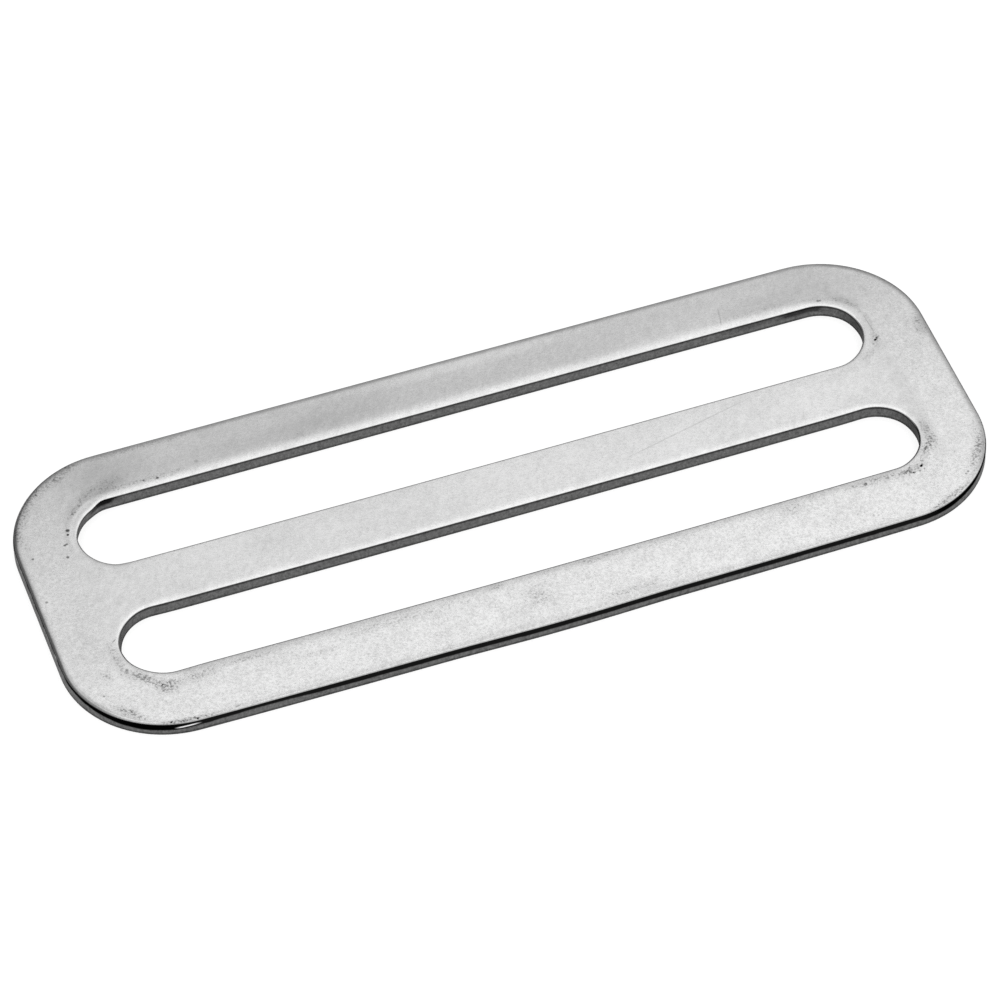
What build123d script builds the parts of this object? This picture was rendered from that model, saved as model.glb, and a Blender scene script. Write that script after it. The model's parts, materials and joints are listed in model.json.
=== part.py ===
from build123d import *
import os

# Tri-glide slide for 76 mm webbing: one flat plate stamped from steel sheet, in millimetres.
# The origin is the middle of the underside. +X runs along the slots, +Y points to the back bar and
# +Z out of the face whose edges the stamping rolled over.

# Webbing that the slide carries
webbing_width = 76.2
webbing_side_play = 1.55

# Plate, seen from above
slot_width = 8.3
front_bar = 6.4
middle_bar = 6.0
back_bar = 5.8
end_web = 6.1
corner_radius = 10.4

# Sheet and its stamped edges
sheet_thickness = 1.5
rim_roll_radius = 0.3
slot_draw_width = 1.2
slot_draw_depth = 0.08
slot_edge_radius = 0.08
underside_break = 0.06

# The slots are as long as the webbing is wide, with play at both ends
slot_length = webbing_width + 2 * webbing_side_play
plate_length = slot_length + 2 * end_web
plate_width = front_bar + slot_width + middle_bar + slot_width + back_bar

# Slot centres, counted back from the front edge
front_slot_y = -plate_width / 2 + front_bar + slot_width / 2
back_slot_y = front_slot_y + slot_width + middle_bar

with BuildPart() as slide_plate:
    # Blank: rounded plate with two full-round slots
    with BuildSketch(Plane.XY):
        RectangleRounded(plate_length, plate_width, corner_radius)
        with Locations((0, front_slot_y), (0, back_slot_y)):
            SlotOverall(slot_length, slot_width, mode=Mode.SUBTRACT)
    extrude(amount=sheet_thickness)

    # The punches drew the sheet down in a wide, shallow slope round each slot
    upper_face = slide_plate.faces().sort_by(Axis.Z)[-1]
    slot_mouths = [edge for wire in upper_face.inner_wires() for edge in wire.edges()]
    chamfer(slot_mouths, length=slot_draw_width, length2=slot_draw_depth, reference=upper_face)

    # Edge at the foot of each slope, where it meets the slot wall
    slot_wall_top = sheet_thickness - slot_draw_depth
    slot_rims = slide_plate.edges().filter_by_position(Axis.Z, slot_wall_top, slot_wall_top)
    fillet(slot_rims, radius=slot_edge_radius)

    # The outer rim is rolled over further than the slots
    upper_face = slide_plate.faces().sort_by(Axis.Z)[-1]
    fillet(upper_face.outer_wire().edges(), radius=rim_roll_radius)

    # The tumbled underside keeps only a small break on every edge
    underside = slide_plate.faces().sort_by(Axis.Z)[0]
    chamfer(underside.edges(), length=underside_break)

slide_plate.part.label = "slide_plate"

os.makedirs("parts", exist_ok=True)
export_step(slide_plate.part, "parts/slide_plate.step")
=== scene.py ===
import json
import math

import bpy
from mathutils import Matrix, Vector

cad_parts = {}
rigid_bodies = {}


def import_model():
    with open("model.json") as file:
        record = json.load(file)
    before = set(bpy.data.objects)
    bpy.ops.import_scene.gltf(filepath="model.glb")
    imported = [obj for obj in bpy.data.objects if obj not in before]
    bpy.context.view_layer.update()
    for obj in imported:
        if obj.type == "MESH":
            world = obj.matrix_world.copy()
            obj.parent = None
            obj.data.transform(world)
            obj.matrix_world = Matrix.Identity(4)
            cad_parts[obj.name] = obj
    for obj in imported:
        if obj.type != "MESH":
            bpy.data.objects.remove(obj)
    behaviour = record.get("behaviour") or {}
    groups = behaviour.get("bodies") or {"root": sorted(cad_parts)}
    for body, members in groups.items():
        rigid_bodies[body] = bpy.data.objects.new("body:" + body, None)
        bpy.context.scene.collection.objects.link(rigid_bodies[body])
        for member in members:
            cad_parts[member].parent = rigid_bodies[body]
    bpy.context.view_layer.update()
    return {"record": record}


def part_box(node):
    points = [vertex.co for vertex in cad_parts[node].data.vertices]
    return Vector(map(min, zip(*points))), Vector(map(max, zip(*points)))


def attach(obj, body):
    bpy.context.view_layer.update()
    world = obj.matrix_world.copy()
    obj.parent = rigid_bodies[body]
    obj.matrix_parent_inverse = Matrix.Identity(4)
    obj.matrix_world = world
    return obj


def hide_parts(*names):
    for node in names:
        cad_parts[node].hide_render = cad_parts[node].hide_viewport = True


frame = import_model()
print("frame loaded")

mm = 0.001

# Lengths are in mm. The plate's outer size and its slots come from the frame.
plate = {
    "cornerRadius": 10.4,
    "slotWidth": 8.3,
    "cornerSegments": 28,
    "slotEndSegments": 18,
    "straightStep": 0.7,           # spacing of the points along straight edges
    # radius of the rolled edges
    "rollFront": 0.16,
    "rollLeft": 0.42,
    "rollRight": 0.16,
    "rollBack": 0.14,
    "rollSlotFar": 0.05,
    "rollSlotNear": 0.22,
    "rollSegments": 6,
    "undersideBreak": 0.06,
    "wallStart": 0.5,              # first step of the walls, which the rolled edges are cut from
    "faceRings": (0.03, 0.08, 0.14, 0.2, 0.25, 0.3, 0.35, 0.4),
    "faceCuts": 3,
    "wallRows": (0.2, 0.2, 0.2, 0.2, 0.14),
    "undersideRings": (0.1, 0.3, 0.5),
    "smoothAngle": 40,
    "longSide": 50,                # longer edges are the straights, the others down to shortSide the ends
    "shortSide": 5,
    "rollChange": 12,              # how far the front bar's roll takes to change into the back bar's
    "upperFrom": 0.75,             # height above which a point belongs to the upper side
    # how deep and how far in the punches drew the face down
    "backSlotFar": (0.026, 1.15),
    "backSlotNear": (0.006, 0.3),
    "frontSlotFar": (0.011, 0.7),
    "frontSlotNear": (0.018, 1.1),
    "slotEnds": (0.016, 0.4),
    "rimBack": (0.012, 0.5),
    "deepestDraw": 0.12,
    "endLead": 2.5,                # how far before a slot's end its own draw begins
    # bars that sprang sideways in the die
    "backBarSpring": 0.02,
    "frontBarSpring": -0.24,
    "middleBarSpring": -0.1,
    "springFade": 2,
    "frontEdgeSwell": -0.2,
    "frontSlotPinch": 0.1,
    "backSlotSlip": -0.16,         # left end of the back slot
    "backSlotCorner": -0.26,
    "rightEndsIn": -0.2,
    "frontSlotLonger": -0.16,
    # where these act: lowest, highest, soft ends
    "swellLong": (-38, 38, 8),
    "swellShort": (-12, 12, 11),
    "swellShares": (0.15, 0.8),
    "swellFrom": -14.5,
    "pinchNearX": (-37, 40, 5),
    "pinchFarX": (-38, 38, 5),
    "pinchNearEnd": -14,
    "slipX": (-43, -36, 1.4),
    "slipY": (1, 14, 2.5),
    "cornerX": (-41, -36, 1.5),
    "cornerY": (7.2, 14, 2.5),
    "rightEndX": (35.5, 43, 2.5),
    "rightEndReach": (-6, 3),
    "rightEndShares": (0.6, 0.4),
    "leftEndX": (-43, -36.5, 2.5),
    "leftEndReach": 4,
    "softY": 2.5,
    # sheet that isn't quite flat
    "waveHeight": 0.012,
    "waveSize": 9,
}

low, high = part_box("slide_plate")
length = high.x - low.x
width = high.y - low.y
thickness = high.z - low.z
slotMounts = [m for m in frame["record"]["mounts"] if m["name"].endswith("_slot")]
slotLength = slotMounts[0]["dims"]["slot_length_mm"] * mm
slotRadius = plate["slotWidth"] / 2 * mm
frontSlotY, backSlotY = sorted(m["pos_m"][1] for m in slotMounts)
slotReach = slotLength / 2 - slotRadius          # from the middle to where a slot's end turns round
sameSpot = 0.01 * mm                             # points closer than this are the same


def deselectAll():
    for shown in bpy.context.view_layer.objects:
        shown.select_set(False)


def pick(mesh, kind, wanted):
    # selects the vertices, edges or faces that wanted says yes to
    bpy.ops.mesh.select_all(action="DESELECT")
    bpy.ops.mesh.select_mode(type=kind)
    bpy.ops.object.mode_set(mode="OBJECT")
    for part in {"VERT": mesh.vertices, "EDGE": mesh.edges, "FACE": mesh.polygons}[kind]:
        part.select = wanted(part)
    bpy.ops.object.mode_set(mode="EDIT")


def middleOf(mesh, edge):
    a, b = (mesh.vertices[i].co for i in edge.vertices)
    return (a + b) / 2


def lengthOf(mesh, edge):
    a, b = (mesh.vertices[i].co for i in edge.vertices)
    return (a - b).length


def insideRim(point):
    # distance in from the outer rim, seen from above
    radius = plate["cornerRadius"] * mm
    pastX = abs(point.x) - (length / 2 - radius)
    pastY = abs(point.y) - (width / 2 - radius)
    return radius - math.hypot(max(pastX, 0), max(pastY, 0)) - min(max(pastX, pastY), 0)


def offSlot(point, slotY):
    # distance out from the wall of one slot, seen from above
    return math.hypot(max(abs(point.x) - slotReach, 0), point.y - slotY) - slotRadius


def fade(amount):
    amount = min(max(amount, 0), 1)
    return amount * amount * (3 - 2 * amount)


def between(value, lowest, highest, soft):
    # 1 between lowest and highest, in mm, with soft ends inside both
    return fade((value / mm - lowest) / soft) * fade((highest - value / mm) / soft)


def addOutline(middleY, sizeX, sizeY, radius, segments):
    bpy.ops.mesh.primitive_plane_add(size=1, location=(0, middleY, thickness))
    bpy.ops.transform.resize(value=(sizeX, sizeY, 1), center_override=(0, middleY, thickness))
    bpy.ops.mesh.bevel(offset=radius * 0.99995, segments=segments, affect="VERTICES")


def push(piece, name, axis, amount, weightAt, texture=None):
    # moves the piece along one axis by amount times the weight of each vertex
    group = piece.vertex_groups.new(name=name)
    for vertex in piece.data.vertices:
        group.add([vertex.index], weightAt(vertex.co), "REPLACE")
    bend = piece.modifiers.new(name, "DISPLACE")
    bend.direction = axis
    bend.mid_level = 0.5 if texture else 0
    bend.strength = amount
    bend.vertex_group = name
    if texture:
        bend.texture = texture
        bend.texture_coords = "LOCAL"
    bpy.ops.object.modifier_apply(modifier=name)
    piece.vertex_groups.remove(piece.vertex_groups[name])


def onUpperRim(mesh, edge):
    point = middleOf(mesh, edge)
    return point.z > thickness - sameSpot and abs(insideRim(point)) < sameSpot


def onUpperSlot(mesh, edge):
    point = middleOf(mesh, edge)
    nearest = min(abs(offSlot(point, y)) for y in (frontSlotY, backSlotY))
    return point.z > thickness - sameSpot and nearest < sameSpot


def rollAt(point):
    # radius of the outer rim's roll, in mm: largest at the left end, least along the bars
    radius = plate["cornerRadius"] * mm
    outX = max(abs(point.x) - (length / 2 - radius), 0)
    outY = max(abs(point.y) - (width / 2 - radius), 0)
    side = outX ** 2 / (outX ** 2 + outY ** 2)
    backward = fade(0.5 + point.y / (plate["rollChange"] * mm))
    bar = plate["rollFront"] + (plate["rollBack"] - plate["rollFront"]) * backward
    end = plate["rollLeft"] if point.x < 0 else plate["rollRight"]
    return bar + (end - bar) * side


def slotRollAt(point):
    slotY = frontSlotY if abs(offSlot(point, frontSlotY)) < sameSpot else backSlotY
    farther = 0.5 + (point.y - slotY) / (2 * slotRadius)
    return plate["rollSlotNear"] + (plate["rollSlotFar"] - plate["rollSlotNear"]) * farther


def cutBlank():
    # the blank's face with its two slots, the rounded edges and the walls
    deselectAll()
    bpy.ops.mesh.primitive_plane_add(size=1)
    piece = bpy.context.active_object
    piece.name = "stamped_slide"
    mesh = piece.data
    bpy.ops.object.mode_set(mode="EDIT")
    bpy.ops.mesh.delete(type="VERT")
    addOutline(0, length, width, plate["cornerRadius"] * mm, plate["cornerSegments"])
    for slotY in (frontSlotY, backSlotY):
        addOutline(slotY, slotLength, 2 * slotRadius, slotRadius, plate["slotEndSegments"])
    bpy.ops.mesh.select_all(action="SELECT")
    bpy.ops.mesh.delete(type="ONLY_FACE")
    bpy.ops.mesh.select_all(action="SELECT")
    bpy.ops.mesh.remove_doubles(threshold=0.003 * mm)
    longSide = plate["longSide"] * mm
    for longest, shortest in ((length, longSide), (longSide, plate["shortSide"] * mm)):
        pick(mesh, "EDGE", lambda e: shortest < lengthOf(mesh, e) < longest)
        side = next(e for e in mesh.edges if e.select)
        steps = 2 * round(lengthOf(mesh, side) / plate["straightStep"] / mm / 2)
        bpy.ops.mesh.subdivide(number_cuts=steps - 1)

    # face, then the first step of its walls
    bpy.ops.mesh.select_all(action="SELECT")
    bpy.ops.mesh.fill(use_beauty=True)
    pick(mesh, "EDGE", lambda e: onUpperRim(mesh, e) or onUpperSlot(mesh, e))
    bpy.ops.mesh.extrude_edges_move(TRANSFORM_OT_translate={"value": (0, 0, -plate["wallStart"] * mm)})
    bpy.ops.object.mode_set(mode="OBJECT")
    widest = plate["rollLeft"]
    shares = mesh.attributes.new("bevel_weight_edge", "FLOAT", "EDGE")
    for edge in mesh.edges:
        if onUpperRim(mesh, edge):
            shares.data[edge.index].value = rollAt(middleOf(mesh, edge)) / widest
        elif onUpperSlot(mesh, edge):
            shares.data[edge.index].value = slotRollAt(middleOf(mesh, edge)) / widest
    roll = piece.modifiers.new("roll", "BEVEL")
    roll.limit_method = "WEIGHT"
    roll.width = widest * mm
    roll.segments = plate["rollSegments"]
    roll.use_clamp_overlap = False
    roll.loop_slide = False
    bpy.ops.object.modifier_apply(modifier="roll")
    bpy.ops.object.mode_set(mode="EDIT")

    # rings inside every edge of the face, and a finer middle
    pick(mesh, "FACE", lambda f: abs(f.normal.z) > 0.999 and f.center.z > thickness - 0.001 * mm)
    for ring in plate["faceRings"]:
        bpy.ops.mesh.inset(thickness=ring * mm, use_boundary=True, use_even_offset=True)
    bpy.ops.mesh.subdivide(number_cuts=plate["faceCuts"])

    # rest of the walls, then the underside
    wallZ = thickness - plate["wallStart"] * mm
    for row in plate["wallRows"]:
        pick(mesh, "EDGE", lambda e: abs(middleOf(mesh, e).z - wallZ) < 0.001 * mm)
        bpy.ops.mesh.extrude_edges_move(TRANSFORM_OT_translate={"value": (0, 0, -row * mm)})
        wallZ -= row * mm
    pick(mesh, "EDGE", lambda e: abs(middleOf(mesh, e).z - wallZ) < 0.001 * mm)
    bpy.ops.mesh.fill(use_beauty=True)
    bpy.ops.mesh.select_all(action="SELECT")
    bpy.ops.mesh.normals_make_consistent(inside=False)
    pick(mesh, "FACE", lambda f: f.normal.z < -0.999)
    broken = plate["undersideBreak"] * mm
    bpy.ops.mesh.inset(thickness=broken, depth=broken, use_even_offset=True)
    for ring in plate["undersideRings"]:
        bpy.ops.mesh.inset(thickness=ring * mm, use_even_offset=True)
    bpy.ops.mesh.subdivide(number_cuts=plate["faceCuts"])
    bpy.ops.mesh.select_all(action="SELECT")
    bpy.ops.mesh.normals_make_consistent(inside=False)
    bpy.ops.object.mode_set(mode="OBJECT")
    return piece


def drawDown(point):
    # how far the face dips at a point of the upper side, in mm
    dip = 0
    for slotY, far, near in (
        (backSlotY, plate["backSlotFar"], plate["backSlotNear"]),
        (frontSlotY, plate["frontSlotFar"], plate["frontSlotNear"]),
    ):
        farther = fade(0.5 + (point.y - slotY) / (1.4 * slotRadius))
        atEnd = fade((abs(point.x) - slotReach + plate["endLead"] * mm) / slotRadius)
        depth, reach = (n + (f - n) * farther for n, f in zip(near, far))
        depth, reach = (a + (e - a) * atEnd for a, e in zip((depth, reach), plate["slotEnds"]))
        away = max(offSlot(point, slotY) / mm, 0)
        dip += depth * max(1 - away / reach, 0) ** 2
    depth, reach = plate["rimBack"]
    inward = max(insideRim(point) / mm, 0)
    return dip + depth * fade(point.y / slotRadius) * max(1 - inward / reach, 0) ** 2


def strikePlate(piece):
    # what the die did to the flat blank
    upper = plate["upperFrom"] * mm
    deepest = plate["deepestDraw"]

    def atDraw(p):
        return fade((p.z - upper) / (0.4 * mm)) * drawDown(p) / deepest

    push(piece, "drawnDown", "Z", -deepest * mm, atDraw)

    def springs(p, nearY, farY):
        # most at the middle of the bar between the two lines
        along = max(1 - (p.x / slotReach) ** 2, 0)
        soft = plate["springFade"] * mm
        return along * fade((p.y - nearY) / soft + 0.5) * fade((farY - p.y) / soft + 0.5)

    for name, amount, nearY, farY in (
        ("backSprung", plate["backBarSpring"], backSlotY, 1),
        ("frontSprung", plate["frontBarSpring"], -1, frontSlotY),
        ("middleSprung", plate["middleBarSpring"], frontSlotY, backSlotY),
    ):
        push(piece, name, "Y", amount * mm, lambda p: springs(p, nearY, farY))

    middle = frontSlotY / mm
    soft = plate["softY"]
    longShare, shortShare = plate["swellShares"]
    reach = plate["leftEndReach"]

    def atSwell(p):
        swell = between(p.x, *plate["swellLong"]) * longShare
        swell += between(p.x, *plate["swellShort"]) * shortShare
        return swell * fade((plate["swellFrom"] - p.y / mm) / soft)

    def atNearSide(p):
        return between(p.x, *plate["pinchNearX"]) * between(p.y, plate["pinchNearEnd"], middle, soft)

    def atFarSide(p):
        return between(p.x, *plate["pinchFarX"]) * between(p.y, middle, 0, soft)

    def atBackEnd(p):
        return between(p.x, *plate["slipX"]) * between(p.y, *plate["slipY"]) * p.z / thickness

    def atBackCorner(p):
        height = 0.5 + p.z / thickness / 2
        return between(p.x, *plate["cornerX"]) * between(p.y, *plate["cornerY"]) * height

    def atRightEnds(p):
        most = 0
        below, above = plate["rightEndReach"]
        whole, nearest = plate["rightEndShares"]
        for slotY in (frontSlotY, backSlotY):
            shape = between(p.y, slotY / mm + below, slotY / mm + above, soft)
            nearer = fade(0.25 + (slotY - p.y) / mm / 2) * p.z / thickness
            most = max(most, shape * (whole + nearest * nearer))
        return between(p.x, *plate["rightEndX"]) * most

    def atFrontEnd(p):
        shape = between(p.x, *plate["leftEndX"]) * between(p.y, middle - reach, middle + reach, soft)
        return shape * p.z / thickness

    def free(p):
        # only the upper side moves
        return fade((p.z - upper) / (0.5 * mm))

    push(piece, "edgeSwelled", "Y", plate["frontEdgeSwell"] * mm, atSwell)
    push(piece, "nearPinched", "Y", plate["frontSlotPinch"] * mm, atNearSide)
    push(piece, "farPinched", "Y", -plate["frontSlotPinch"] * mm, atFarSide)
    push(piece, "backEndSlipped", "Y", plate["backSlotSlip"] * mm, atBackEnd)
    push(piece, "backCornerIn", "Y", plate["backSlotCorner"] * mm, atBackCorner)
    push(piece, "rightEndsIn", "X", plate["rightEndsIn"] * mm, atRightEnds)
    push(piece, "frontEndOut", "X", plate["frontSlotLonger"] * mm, atFrontEnd)

    waves = bpy.data.textures.new("sheetWaves", "CLOUDS")
    waves.noise_scale = plate["waveSize"] * mm
    waves.noise_depth = 1
    push(piece, "wavy", "Z", plate["waveHeight"] * mm, free, waves)


slide = cutBlank()
print("blank cut:", len(slide.data.vertices), "points")
strikePlate(slide)
bpy.ops.object.select_all(action="DESELECT")
slide.select_set(True)
bpy.context.view_layer.objects.active = slide
bpy.ops.object.shade_smooth_by_angle(angle=math.radians(plate["smoothAngle"]))
print("edges drawn and bars sprung")


class Wire:
    # one output of a node; a sum on it adds Math nodes
    def __init__(self, tree, socket=None):
        self.tree = tree
        self.socket = socket

    def node(self, kind, settings=None, sockets=None, output=0):
        made = self.tree.nodes.new(kind)
        for name, value in (settings or {}).items():
            if name == "stops":
                points = made.color_ramp.elements
                for place, tone in value[len(points):]:
                    points.new(place)
                for point, (place, tone) in zip(points, value):
                    point.position = place
                    point.color = (tone, tone, tone, 1)
            else:
                setattr(made, name, value)
        for name, value in (sockets or {}).items():
            if isinstance(value, Wire):
                self.tree.links.new(value.socket, made.inputs[name])
            else:
                made.inputs[name].default_value = value
        return Wire(self.tree, made.outputs[output] if made.outputs else None)

    def of(self, output):
        return Wire(self.tree, self.socket.node.outputs[output])

    def math(self, operation, *others, clamped=False):
        sockets = dict(enumerate((self, *others)))
        return self.node("ShaderNodeMath", {"operation": operation, "use_clamp": clamped}, sockets)

    def __add__(self, other):
        return self.math("ADD", other)

    def __radd__(self, other):
        return self.math("ADD", other)

    def __sub__(self, other):
        return self.math("SUBTRACT", other)

    def __rsub__(self, other):
        return (self * -1).math("ADD", other)

    def __mul__(self, other):
        return self.math("MULTIPLY", other)

    def __rmul__(self, other):
        return self.math("MULTIPLY", other)

    def __truediv__(self, other):
        return self.math("DIVIDE", other)

    def vector(self, operation, *others, output="Vector"):
        sockets = dict(enumerate((self, *others)))
        return self.node("ShaderNodeVectorMath", {"operation": operation}, sockets, output)

    def dot(self, direction):
        return self.vector("DOT_PRODUCT", direction, output="Value")

    def rise(self, start, end):
        # 0 below start, 1 above end, soft between
        return self.node(
            "ShaderNodeMapRange",
            {"interpolation_type": "SMOOTHSTEP"},
            {"Value": self, "From Min": start, "From Max": end},
        )

    def bell(self, middle, spread):
        # 1 at the middle, 0 at spread away from it
        return 1 - (self - middle).math("ABSOLUTE").rise(0, spread)

    def clamp(self):
        return self.math("ADD", 0, clamped=True)

    def blend(self, first, second):
        # this wire is the share of the second colour
        return self.node(
            "ShaderNodeMix",
            {"data_type": "RGBA"},
            {"Factor": self, 6: first, 7: second},
            2,
        )


# Steel: sizes and places in mm, tones and shares from 0 to 1, relief in thousandths of a mm.
# A pair is where something starts and ends; a bell is its middle and how far it spreads.
steel = {
    # grains: size, detail, roughness, seed
    "speckles": (0.11, 2, 0.75, 0.0),
    "grit": (0.3, 3, 0.65, 7.3),
    "flecks": (0.22, 2, 0.6, 9.1),
    "mottle": (2.2, 4, 0.6, 3.1),
    "cloud": (7, 2, 0.5, 11.9),
    "streaks": (0.35, 3, 0.7, 5.0),
    "tear": (1.6, 3, 0.6, 2.0),
    "streakStretch": (1, 1, 0.45),
    "scuffTurn": 65,
    "scuffSize": (0.9, 0.42, 1),
    # the face
    "faceTone": 0.875,
    "faceRough": 0.16,
    "mottleRough": 0.12,
    "speckleTone": 0.24,
    "speckleRubbed": 0.42,         # on the front bar and the ends, which rub the most
    "gritTone": 0.15,
    "mottleTone": 0.055,
    "scuffTone": 0.14,
    "cloudTone": 0.1,
    "rubbedFront": (-12, -9),
    "rubbedEnds": (40, 42),
    "rubbedEndShare": 0.6,
    "gritUneven": (0.5, 0.35, 1.25),     # everywhere, more towards the front, more where rubbed
    "gritFront": (3, 13),
    "upperFacing": (0.5, 0.9),
    "leftHalf": (-1, 1),
    # stains, and the patches of painted light and shade: how soft each kind is, in shares of its own size
    "smudgeReach": (0.2, 1.35),
    "scratchReach": (0.5, 1.2),
    "dotReach": (0.5, 1.2),
    "patchReach": (0.2, 1.3),
    # how ragged each kind is, then the flecks in them
    "smudgeRagged": (1.6, 0.8),
    "scratchRagged": 0.8,
    "dotRagged": 0.16,
    "patchRagged": 0.4,
    "fleckRange": (0.54, 0.78),
    "fleckShares": (0.12, 0.1, 0.62),    # everywhere, more where rubbed, more in smudges
    "fleckLift": 0.3,
    "smudgeTone": 0.26,
    "stainRough": 0.3,
    # ring pressed round the ends of the back slot: a bell of painted highlight, then a darker bell of
    # painted shade with dark flecks
    "ringLight": (0.5, 0.3),
    "ringDark": (0.98, 0.36),
    "ringEnds": (34, 37),
    "ringBack": (5, 8),
    "ringRagged": 0.5,
    "ringLightTones": (0.04, 0.08),      # everywhere, more on the left
    "ringDarkTones": (0.06, 0.7),        # everywhere, more on the flecks
    # shade inside the rim
    "shadeReach": (0.12, 0.75),
    "shadeEnds": 0.62,
    "shadeBars": 0.3,
    "shadeRagged": 0.15,
    "shadeFront": (-17, -8),
    "shadeLessFront": 0.16,
    "shadeRight": (30, 40),
    "shadeLessRight": 0.25,
    "shadeRound": (0.05, 0.55),          # of the way round a corner
    "shadeLaterFront": 0.6,
    # which way a spot faces, as the upward share of its normal, and where on the plate it is
    "wallFacing": (0.25, 0.6),
    "underFacing": (-0.9, -0.6),
    "rimWidth": (0.6, 1.6),
    "frontRim": (-16, -12),
    "backRim": (14.5, 17.2),
    "rightRim": (36, 42),
    # rolled edges, which carry the painted dark reflection and painted shade; a tilt is in radians away
    # from straight up
    "rolledTilt": (0.75, 1.25),
    "rolledLeast": (0.1, 0.4),
    "rolledMore": (0.32, 0.22),          # at both ends, at the right end
    "blackLessBack": 0.5,
    "dulledTilt": (0.05, 0.45),
    "dulledTones": (0.17, 0.33, 0.1),    # everywhere, more at the back, more at the right
    "slotEdgeTilt": (0.08, 0.42),
    "slotEdgeDepth": (0.2, 0.36),
    "slotEdgeTone": 0.93,
    "slotEdgeFacing": (-0.2, 0.1),
    "slotEdgeTurned": (0.25, 0.75),      # every way, more where it faces the back
    "slotEdgeBack": (-6, 2),
    "slotEdgeLessBack": 0.42,
    # the sheared walls, measured down from the face
    # wall tone: the torn steel's own matte grey, set darker as painted shade for the dark surroundings it
    # mirrors
    "wallTone": 0.146,
    "wallGrains": (1.3, 1.3, 1.2),       # streaks, grit, speckles
    "wallRough": 0.55,
    "wallMetal": 0.4,
    # painted dark reflection: the rolled rim's burnished band is coloured near black where it mirrors the
    # dark surroundings
    "burnishTone": 0.007,          # along the bars; only the least is left round the corners
    "burnishLeast": 0.001,
    "burnishRound": (0, 0.3),
    "burnishRough": 0.14,
    "burnishDepth": 0.67,          # from the face down to where the sheet tore
    "burnishSide": 0.2,            # the same at both ends of the plate
    "burnishCorner": 0.72,
    "burnishRight": (35, 43),
    "burnishRightLess": 0.28,
    "burnishFront": (-29, 7),      # a bell on the front bar
    "burnishFrontLess": 0.2,
    "burnishRagged": 0.2,
    "burnishFade": (-0.06, 0.13),
    "lowestBand": (1.1, 1.26),
    "lowestTone": 0.48,
    "topLine": (0.18, 0.4),
    "topLineTone": 0.6,
    # painted shade on walls that face sideways, more on the left
    "endWallTone": 0.62,
    "leftWallTone": 0.25,
    # painted glint on the lip of the burnished band, near the front left corner
    "lipTone": 1.2,
    "lipDepth": 0.62,
    "lipHalf": 0.13,
    "lipSlope": (-38.4, -35.6),
    "lipClimb": 0.19,
    "lipStart": (-37.9, -37.1),
    "lipEnd": (-36.3, -35.2),
    "lipFront": (-16, -14),
    # burnt patches on the far wall of the back slot: middle, soft edge and share
    "burntRight": (35.3, (1.3, 2.8), 0.75),
    "burntLeft": (-36, (0.4, 1.7), 0.95),
    "burntNext": (30, 4.5),              # a bell beside the right one
    "burntNextShare": 0.35,
    "burntRagged": (2, 3),
    "burntDepth": (0.55, 0.95),
    "burntDepthRagged": 0.25,
    "burntBack": (8, 9),
    "relief": {"speckles": 0.6, "grit": 1.6, "mottle": 4, "streaks": 30, "torn": 30},
}

# Darker and brighter parts of the face, painted light and shade that is partly the steel's own uneven
# tone: x, y, half length, half width, turn, share
patches = (
    (-10, 15.2, 44, 3.6, 0, -0.05),
    (-18, 13.5, 16, 1.6, 0, -0.08),
    (33, 13.4, 6, 1.7, 0, -0.13),
    (10, 13.7, 13, 1.4, 0, -0.05),
    (-43.0, 8.0, 3.4, 8.0, 0, 0.06),
    (38, 14.6, 7, 2.6, -35, -0.08),
    (0, 0.3, 44, 4.5, 0, 0.07),
    (-35, 14.4, 4.6, 3.2, 0, -0.17),
    (-35.6, 12.9, 2.8, 0.9, 15, -0.1),
    (0, 16.4, 11, 0.9, 0, 0.14),
    (39.2, 11.6, 2.6, 0.7, -45, -0.12),
    (-38.6, 11.9, 2.6, 0.7, 40, -0.1),
    (-43.5, 0, 3.0, 16, 0, -0.05),
    (-9, -1.0, 9, 2.0, 0, -0.05),
    (-29, -15.0, 12, 2.0, 0, 0.03),
    (-12, 14.5, 7, 2.0, 0, -0.08),
    (9, 16.4, 9, 0.8, 0, 0.06),
    (32, 0.5, 8, 3.0, 0, 0.05),
    (-44.2, -1, 1.6, 6, 0, 0.07),
    (-30, 2.2, 9, 1.2, 0, 0.05),
    (40.4, -3.5, 1.0, 9, 0, -0.09),
    (44.9, 5.4, 0.8, 1.5, 0, -0.12),
    (2, -14.6, 38, 4.0, 0, 0.03),
    (-4, -15.5, 2.2, 1.4, 0, -0.09),
    (8, -16.2, 3.0, 1.0, 0, -0.1),
)

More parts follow.
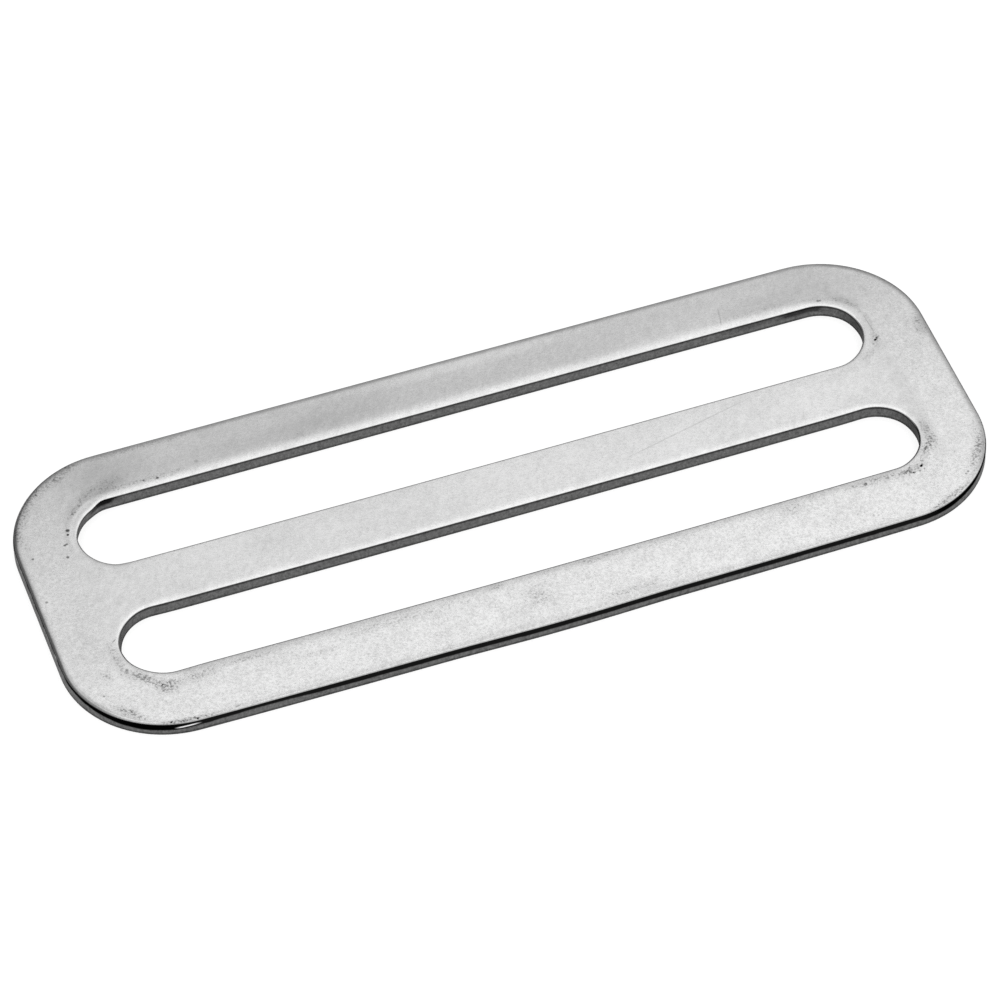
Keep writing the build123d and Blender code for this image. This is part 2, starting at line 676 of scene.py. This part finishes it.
# Dark dots on the face: x, y, radius, strength
dots = (
    (-40.2, 9.0, 0.24, 0.85),
    (-40.35, 8.5, 0.15, 0.9),
    (-41.0, 7.32, 0.15, 0.75),
    (-40.78, 7.38, 0.14, 0.65),
    (-41.15, 5.8, 0.17, 0.7),
    (-44.3, 6.7, 0.16, 0.65),
    (-44.6, 1.1, 0.16, 0.55),
    (-41.7, 14.3, 0.2, 0.14),
    (-42.45, 13.4, 0.2, 0.16),
    (-43.0, 12.75, 0.2, 0.16),
    (-39.6, 15.6, 0.18, 0.35),
    (-39.2, 10.85, 0.14, 0.45),
    (-38.9, 10.95, 0.13, 0.4),
    (-38.3, 11.6, 0.16, 0.35),
    (-30.3, 12.45, 0.18, 0.5),
    (-31.6, 12.6, 0.13, 0.45),
    (-26.2, 13.2, 0.22, 0.3),
    (-40.0, -9.4, 0.15, 0.4),
    (-42.9, -11.7, 0.12, 0.5),
    (-41.0, -14.3, 0.2, 0.3),
    (-38.0, -16.8, 0.12, 0.5),
    (-36.9, -17.07, 0.12, 0.65),
    (-36.55, -17.1, 0.1, 0.55),
    (-35.6, -17.2, 0.12, 0.65),
    (38.05, -11.55, 0.17, 0.85),
    (38.2, -11.4, 0.15, 0.6),
    (37.7, -12.1, 0.11, 0.6),
    (38.2, -12.0, 0.1, 0.5),
    (37.1, -12.1, 0.16, 0.35),
    (36.6, -11.7, 0.18, 0.3),
    (32.2, -11.9, 0.2, 0.5),
    (31.0, -11.7, 0.13, 0.45),
    (41.65, -13.95, 0.15, 0.45),
    (41.95, -13.75, 0.12, 0.5),
    (40.15, 5.25, 0.14, 0.5),
    (40.4, 5.42, 0.12, 0.3),
    (39.8, 4.8, 0.13, 0.4),
    (36.9, 12.05, 0.17, 0.6),
    (37.15, 12.0, 0.13, 0.5),
)

# Scratches, then patches of worn specks: x, y, half length, half width, turn, strength
scratches = (
    (-40.1, -5.6, 0.3, 0.07, 35, 0.45),
    (-31.7, -17.05, 0.35, 0.09, 10, 0.4),
    (39.3, -9.6, 0.4, 0.12, 50, 0.45),
    (40.4, 7.4, 0.06, 1.6, 2, 0.25),
    (40.35, 5.38, 0.5, 0.13, 38, 0.4),
    (27.2, 13.4, 0.1, 1.3, -12, 0.22),
    (18.8, 0.7, 8.0, 0.1, 13, 0.16),
)
smudges = (
    (-35.0, 13.3, 1.9, 1.0, 15, 0.35),
    (-37.3, 12.7, 1.2, 0.6, 30, 0.35),
    (-38.9, 11.2, 1.6, 0.4, 42, 0.4),
    (-43.5, 12.3, 3.4, 0.65, 58, 0.42),
    (-44.7, 9.4, 0.5, 2.2, 8, 0.3),
    (-39.2, 15.9, 3.8, 0.75, 30, 0.45),
    (-31.0, 12.6, 4.6, 0.45, 0, 0.35),
    (-31.0, 16.9, 7.0, 0.5, 0, 0.36),
    (-40.5, -7.8, 0.55, 2.4, 5, 0.38),
    (-42.0, -9.4, 0.8, 0.5, -60, 0.3),
    (-38.9, -10.7, 2.2, 0.7, -42, 0.5),
    (-37.0, -12.6, 1.3, 0.9, 0, 0.48),
    (-33.9, -12.3, 2.2, 0.8, 5, 0.32),
    (-41.3, -14.4, 2.1, 0.55, -46, 0.42),
    (-37.2, -16.95, 4.0, 0.3, -5, 0.5),
    (-28.5, -11.9, 3.6, 0.4, 0, 0.3),
    (-22.5, -13.6, 2.2, 0.3, 0, 0.25),
    (-4.7, -11.8, 0.8, 0.5, 0, 0.3),
    (-1.5, -14.2, 1.4, 1.7, 20, 0.25),
    (24.7, -12.3, 1.2, 0.9, 0, 0.25),
    (34.0, -11.75, 4.0, 0.55, 1, 0.38),
    (37.3, -11.6, 1.6, 0.7, 25, 0.3),
    (39.3, -9.7, 1.5, 0.6, 52, 0.4),
    (40.3, -7.6, 0.65, 2.3, 0, 0.42),
    (44.9, 6.3, 0.4, 0.9, -12, 0.32),
    (44.6, 4.9, 0.45, 0.6, 20, 0.3),
    (45.1, 5.2, 0.3, 1.5, 0, 0.3),
    (43.5, -12.0, 2.6, 0.55, 56, 0.38),
    (39.0, -16.25, 3.2, 0.45, 25, 0.42),
    (39.3, 11.0, 1.9, 0.45, -45, 0.32),
    (31.0, 12.9, 5.0, 0.5, 0, 0.2),
    (38.9, 3.7, 1.4, 0.45, 30, 0.3),
    (40.3, 5.5, 0.6, 1.5, 0, 0.3),
    (44.5, -9.7, 0.5, 2.2, -14, 0.26),
    (5.5, -11.7, 3.0, 0.4, 0, 0.32),
    (-15.0, -12.4, 7.0, 0.6, 0, 0.2),
    (6.5, -16.5, 4.0, 0.35, 0, 0.25),
    (-16.5, 12.9, 1.6, 0.5, 0, 0.25),
)


def makeSteel():
    material = bpy.data.materials.new("tumbled_steel_plate")
    material.use_nodes = True
    material.node_tree.nodes.clear()
    start = Wire(material.node_tree)
    place = start.node("ShaderNodeTexCoord", output="Object")
    inMm = place.node("ShaderNodeVectorMath", {"operation": "SCALE"}, {0: place, "Scale": 1 / mm})
    axes = inMm.node("ShaderNodeSeparateXYZ", sockets={0: inMm}, output="X")
    x, y, z = axes, axes.of("Y"), axes.of("Z")
    sides = place.node("ShaderNodeSeparateXYZ", sockets={0: place.of("Normal")}, output="X")
    facing = sides.of("Z")

    def noise(grain, stretch=(1, 1, 1)):
        # varies about 0.5
        size, detail, rough, seed = steel[grain]
        moved = inMm.node(
            "ShaderNodeMapping",
            sockets={"Vector": inMm, "Scale": stretch, "Location": (seed, seed, seed)},
        )
        return moved.node(
            "ShaderNodeTexNoise",
            sockets={"Vector": moved, "Scale": 1 / size, "Detail": detail, "Roughness": rough},
            output="Fac",
        )

    speckles = noise("speckles")
    grit = noise("grit")
    flecks = noise("flecks")
    mottle = noise("mottle")
    cloud = noise("cloud")
    turned = inMm.node(
        "ShaderNodeMapping",
        {"vector_type": "TEXTURE"},
        {
            "Vector": inMm,
            "Rotation": (0, 0, math.radians(steel["scuffTurn"])),
            "Scale": steel["scuffSize"],
        },
    )
    scuffs = turned.node(
        "ShaderNodeTexNoise",
        sockets={"Vector": turned, "Scale": 1.0, "Detail": 3},
        output="Fac",
    )
    sideways = x.math("ABSOLUTE")
    rubbedEnds = sideways.rise(*steel["rubbedEnds"]) * steel["rubbedEndShare"]
    rubbed = (1 - y.rise(*steel["rubbedFront"])).math("MAXIMUM", rubbedEnds)

    def spread(places, reach, wander):
        # one mask of all the places: 1 inside them, 0 outside
        whole = None
        for atX, atY, halfX, halfY, turn, strength in places:
            cosine, sine = math.cos(math.radians(turn)), math.sin(math.radians(turn))
            local = inMm.vector("SUBTRACT", (atX, atY, 0))
            along = local.dot((cosine / halfX, sine / halfX, 0))
            across = local.dot((-sine / halfY, cosine / halfY, 0))
            away = (along * along + across * across).math("SQRT")
            one = (1 - (away + wander).rise(*reach)) * strength
            whole = one if whole is None else whole + one
        return whole

    # stains on the face
    byGrit, byMottle = steel["smudgeRagged"]
    ragged = (grit - 0.5) * byGrit + (mottle - 0.5) * byMottle
    upper = facing.rise(*steel["upperFacing"])
    worn = spread(smudges, steel["smudgeReach"], ragged)
    everywhere, whereRubbed, inSmudges = steel["fleckShares"]
    fleckShare = everywhere + whereRubbed * rubbed + worn * inSmudges
    raised = flecks + worn * steel["fleckLift"]
    stain = raised.rise(*steel["fleckRange"]) * fleckShare + worn * steel["smudgeTone"]
    stain = stain + spread(scratches, steel["scratchReach"], (grit - 0.5) * steel["scratchRagged"])
    flat = inMm.vector("MULTIPLY", (1, 1, 0))
    frayed = (grit - 0.5) * steel["dotRagged"]
    full, gone = steel["dotReach"]
    for atX, atY, radius, strength in dots:
        away = flat.vector("DISTANCE", (atX, atY, 0), output="Value")
        stain = stain + (1 - (away + frayed).rise(radius * full, radius * gone)) * strength
    stain = stain.clamp() * upper
    # painted light and shade over broad parts of the face, partly the steel's own uneven tone
    paintedLightAndTone = 1 + spread(patches, steel["patchReach"], (cloud - 0.5) * steel["patchRagged"])
    toLeft = 1 - x.rise(*steel["leftHalf"])

    # distance in from the outer rim, from its rounded rectangle
    pastX = sideways - (length / mm / 2 - plate["cornerRadius"])
    pastY = y.math("ABSOLUTE") - (width / mm / 2 - plate["cornerRadius"])
    outX = pastX.math("MAXIMUM", 0)
    outY = pastY.math("MAXIMUM", 0)
    corner = (outX * outX + outY * outY).math("SQRT")
    inRim = plate["cornerRadius"] - corner - pastX.math("MAXIMUM", pastY).math("MINIMUM", 0)
    nearRim = 1 - inRim.rise(*steel["rimWidth"])

    # painted highlight and painted shade of the ring that the slot punches pressed round the slots' ends,
    # with dark flecks in the shade
    pastSlot = (sideways - slotReach / mm).math("MAXIMUM", 0)
    upSlot = (y - (frontSlotY + backSlotY) / 2 / mm).math("ABSOLUTE") - (backSlotY - frontSlotY) / 2 / mm
    offSlots = (pastSlot * pastSlot + upSlot * upSlot).math("SQRT") - slotRadius / mm
    offSlots = offSlots + (mottle - 0.5) * steel["ringRagged"]
    everywhere, onLeft = steel["ringLightTones"]
    ringLight = offSlots.bell(*steel["ringLight"]) * (everywhere + onLeft * toLeft)
    everywhere, onFlecks = steel["ringDarkTones"]
    flecked = everywhere + (flecks - 0.5).math("ABSOLUTE") * onFlecks
    ringDark = offSlots.bell(*steel["ringDark"]) * flecked
    ring = (ringLight - ringDark) * sideways.rise(*steel["ringEnds"]) * y.rise(*steel["ringBack"])

    # sheared wall: rolled and burnished above, torn below; the rolled edges carry painted dark reflection
    # and painted shade
    down = thickness / mm - z
    streaks = noise("streaks", steel["streakStretch"])
    atEnds = outX / plate["cornerRadius"]
    edgeRagged = (noise("tear") - 0.5) * steel["burnishRagged"]
    shallower = steel["burnishDepth"] - steel["burnishSide"]
    limit = steel["burnishDepth"] - atEnds.math("POWER", 4) * shallower
    limit = limit + edgeRagged + (1 - atEnds) * atEnds * steel["burnishCorner"]
    limit = limit - x.rise(*steel["burnishRight"]) * steel["burnishRightLess"]
    atFront = x.bell(*steel["burnishFront"]) * (1 - y.rise(*steel["frontRim"]))
    limit = limit - atFront * steel["burnishFrontLess"]
    tilt = facing.math("ARCCOSINE")
    wall = 1 - facing.rise(*steel["wallFacing"])
    under = 1 - facing.rise(*steel["underFacing"])
    sheared = wall * (1 - under)
    backward = y.rise(*steel["backRim"])
    rightward = x.rise(*steel["rightRim"])
    band = 1 - (down - limit).rise(*steel["burnishFade"])
    moreAtEnds, moreAtRight = steel["rolledMore"]
    rolled = (tilt + atEnds * moreAtEnds + rightward * moreAtRight).rise(*steel["rolledTilt"])
    rolled = rolled * tilt.rise(*steel["rolledLeast"])
    # painted dark reflection on the rolled rim's burnished band
    darkReflection = rolled * nearRim * band * (1 - steel["blackLessBack"] * backward)
    # painted shade on the rolled rim, growing with its tilt, more at the back and at the right
    everywhere, atBack, atRight = steel["dulledTones"]
    rollShade = tilt.rise(*steel["dulledTilt"]) * nearRim
    rollShade = rollShade * (everywhere + backward * atBack + rightward * atRight)
    # painted shade on the rolled edges of the slots, growing with their tilt
    slotEdgeShade = tilt.rise(*steel["slotEdgeTilt"]) * (1 - nearRim)
    slotEdgeShade = slotEdgeShade * (1 - down.rise(*steel["slotEdgeDepth"]))
    everyWay, facingBack = steel["slotEdgeTurned"]
    slotEdgeShade = slotEdgeShade * (everyWay + facingBack * sides.of("Y").rise(*steel["slotEdgeFacing"]))
    slotEdgeShade = slotEdgeShade * (1 - y.rise(*steel["slotEdgeBack"]) * steel["slotEdgeLessBack"])
    topLine = (1 - down.rise(*steel["topLine"])) * (1 - nearRim)
    lowest = (down + edgeRagged).rise(*steel["lowestBand"])

    # painted glint: a highlight painted on the lip of the burnished band
    climbed = down + x.rise(*steel["lipSlope"]) * steel["lipClimb"]
    paintedGlint = climbed.bell(steel["lipDepth"], steel["lipHalf"])
    paintedGlint = paintedGlint * x.rise(*steel["lipStart"]) * (1 - x.rise(*steel["lipEnd"]))
    paintedGlint = paintedGlint * (1 - y.rise(*steel["lipFront"]))

    # soft shade inside the rim, strongest at both ends
    frontward = 1 - y.rise(*steel["shadeFront"])
    rounding = (atEnds - frontward * steel["shadeLaterFront"]).rise(*steel["shadeRound"])
    onBars = steel["shadeBars"] - frontward * steel["shadeLessFront"]
    deepest = rounding * steel["shadeEnds"] + (1 - rounding) * onBars
    deepest = deepest * (1 - x.rise(*steel["shadeRight"]) * steel["shadeLessRight"])
    wavering = inRim + (grit - 0.5) * steel["shadeRagged"]
    shade = (1 - wavering.rise(*steel["shadeReach"])) * deepest

    # tone of the face
    everywhere, atFront, whereRubbed = steel["gritUneven"]
    uneven = everywhere + atFront * (1 - y.rise(*steel["gritFront"])) + rubbed * whereRubbed
    speckleTone = steel["speckleTone"] + rubbed * (steel["speckleRubbed"] - steel["speckleTone"])
    faceTone = steel["faceTone"] * (
        1
        - (speckles - 0.5) * 2 * speckleTone
        - (grit - 0.5) * 2 * steel["gritTone"] * uneven
        - (mottle - 0.5) * 2 * steel["mottleTone"]
        - (scuffs - 0.5) * 2 * steel["scuffTone"]
        + ring
        - (cloud - 0.5) * steel["cloudTone"]
    )
    faceTone = faceTone * paintedLightAndTone * (1 - stain) * (1 - shade * upper)

    # walls: burnt by the punch at both ends of the back slot, and darker towards the ends with painted
    # shade on the walls that face sideways, more on the left
    byStreaks, byGrit, bySpeckles = steel["wallGrains"]
    grain = 1 - (streaks - 0.5) * byStreaks - (grit - 0.5) * byGrit - (speckles - 0.5) * bySpeckles
    # the torn steel's own grey, set darker as painted shade
    wallTone = steel["wallTone"] * grain
    # painted shade on walls that face sideways
    acrossX = sides.math("ABSOLUTE") * (1 - nearRim)
    byGrit, byMottle = steel["burntRagged"]
    wander = (grit - 0.5) * byGrit + (mottle - 0.5) * byMottle
    burnt = x.bell(*steel["burntNext"]) * steel["burntNextShare"]
    for burntX, softness, share in (steel["burntRight"], steel["burntLeft"]):
        burnt = burnt + (1 - ((x - burntX).math("ABSOLUTE") + wander).rise(*softness)) * share
    burnt = burnt * (1 - (down + ragged * steel["burntDepthRagged"]).rise(*steel["burntDepth"]))
    burnt = burnt * y.rise(*steel["burntBack"]) * (1 - nearRim)
    wallTone = wallTone * (1 - lowest * steel["lowestTone"]) * (1 - topLine * steel["topLineTone"])
    wallTone = wallTone * (1 - burnt) * (1 - acrossX.math("POWER", 5) * steel["endWallTone"])
    wallTone = wallTone * (1 - acrossX * acrossX * toLeft * steel["leftWallTone"])
    tone = faceTone + (wallTone - faceTone) * sheared
    tone = tone * (1 - slotEdgeShade * steel["slotEdgeTone"]) * (1 - rollShade * (1 - sheared))
    # the painted dark reflection is darkest along the bars
    alongBars = 1 - atEnds.rise(*steel["burnishRound"])
    darkest = alongBars * steel["burnishTone"] + steel["burnishLeast"]
    tone = tone + (darkest - tone) * darkReflection + paintedGlint * steel["lipTone"]
    tone = tone.clamp()
    colour = tone.blend((0, 0, 0, 1), (1, 1, 1, 1))

    rough = steel["faceRough"] + (mottle - 0.5) * steel["mottleRough"] + stain * steel["stainRough"]
    rough = rough + (steel["wallRough"] - rough) * sheared
    rough = (rough + (steel["burnishRough"] - rough) * darkReflection).clamp()
    metal = (1 - sheared * (1 - steel["wallMetal"])) * (1 - darkReflection)

    relief = steel["relief"]
    smooth = speckles * relief["speckles"] + grit * relief["grit"] + mottle * relief["mottle"]
    torn = streaks * relief["streaks"] + grit * relief["torn"]
    height = smooth + (torn - smooth) * sheared * (1 - darkReflection)
    bump = height.node(
        "ShaderNodeBump",
        sockets={"Height": height, "Strength": 1.0, "Distance": 0.001 * mm},
    )
    shader = start.node(
        "ShaderNodeBsdfPrincipled",
        sockets={
            "Base Color": colour,
            "Roughness": rough,
            "Metallic": metal,
            "Specular IOR Level": 0.0,
            "Normal": bump,
        },
    )
    start.node("ShaderNodeOutputMaterial", sockets={"Surface": shader})
    return material


slide.data.materials.append(makeSteel())
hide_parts("slide_plate")
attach(slide, "root")
print("steel laid on")

# Studio: lengths in mm, angles in degrees
studio = {
    "cameraAt": (-112.302, -338.482, 396.560),
    "cameraTurn": (41.9168, 1.1126, -19.5567),
    "lens": 202.494,
    "sky": 1.12,
    "cardTone": 0.38,              # dark card that leans behind the set
    "cardSide": (0.107, -1.0, 1.0),
    "cardFade": (0.03, 0.15),      # where its edge fades into the sky
    "brightest": (0.208, 0.634, 0.744),    # towards the part of the sky that the face mirrors
    "brightFade": (0.72, 0.93),
    "elsewhere": 0.7,
    "floorSize": 6,                # in metres
    "floorGlow": 0.75,
    "floorTone": 0.5,
}


def buildStudio():
    bpy.ops.object.camera_add(
        location=[v * mm for v in studio["cameraAt"]],
        rotation=[math.radians(v) for v in studio["cameraTurn"]],
    )
    camera = bpy.context.active_object
    camera.name = "photo_camera"
    camera.data.lens = studio["lens"]
    camera.data.sensor_width = 36
    camera.data.clip_start = 10 * mm
    camera.data.clip_end = 20
    bpy.context.scene.camera = camera

    bpy.ops.mesh.primitive_plane_add(size=studio["floorSize"])
    floor = bpy.context.active_object
    floor.name = "pale_floor"
    paint = bpy.data.materials.new("pale_floor")
    paint.use_nodes = True
    paint.node_tree.nodes.clear()
    start = Wire(paint.node_tree)
    white = (1, 1, 1, 1)
    glow = start.node("ShaderNodeEmission", sockets={"Color": white, "Strength": studio["floorGlow"]})
    tone = studio["floorTone"]
    matt = start.node("ShaderNodeBsdfDiffuse", sockets={"Color": (tone, tone, tone, 1)})
    both = start.node("ShaderNodeAddShader", sockets={0: glow, 1: matt})
    start.node("ShaderNodeOutputMaterial", sockets={"Surface": both})
    floor.data.materials.append(paint)

    world = bpy.data.worlds.new("studio")
    bpy.context.scene.world = world
    world.use_nodes = True
    world.node_tree.nodes.clear()
    start = Wire(world.node_tree)
    towards = start.node("ShaderNodeTexCoord", output="Generated")
    side = start.node("ShaderNodeVectorMath", {"operation": "NORMALIZE"}, {0: studio["cardSide"]})
    past = towards.dot(side)
    level = past.rise(*studio["cardFade"]) * (studio["sky"] - studio["cardTone"]) + studio["cardTone"]
    bright = towards.dot(studio["brightest"]).rise(*studio["brightFade"])
    level = level * (bright * (1 - studio["elsewhere"]) + studio["elsewhere"])
    light = start.node("ShaderNodeBackground", sockets={"Color": (1, 1, 1, 1), "Strength": level})
    start.node("ShaderNodeOutputWorld", sockets={"Surface": light})
    bpy.context.scene.view_settings.view_transform = "Standard"


buildStudio()
print("studio set up")
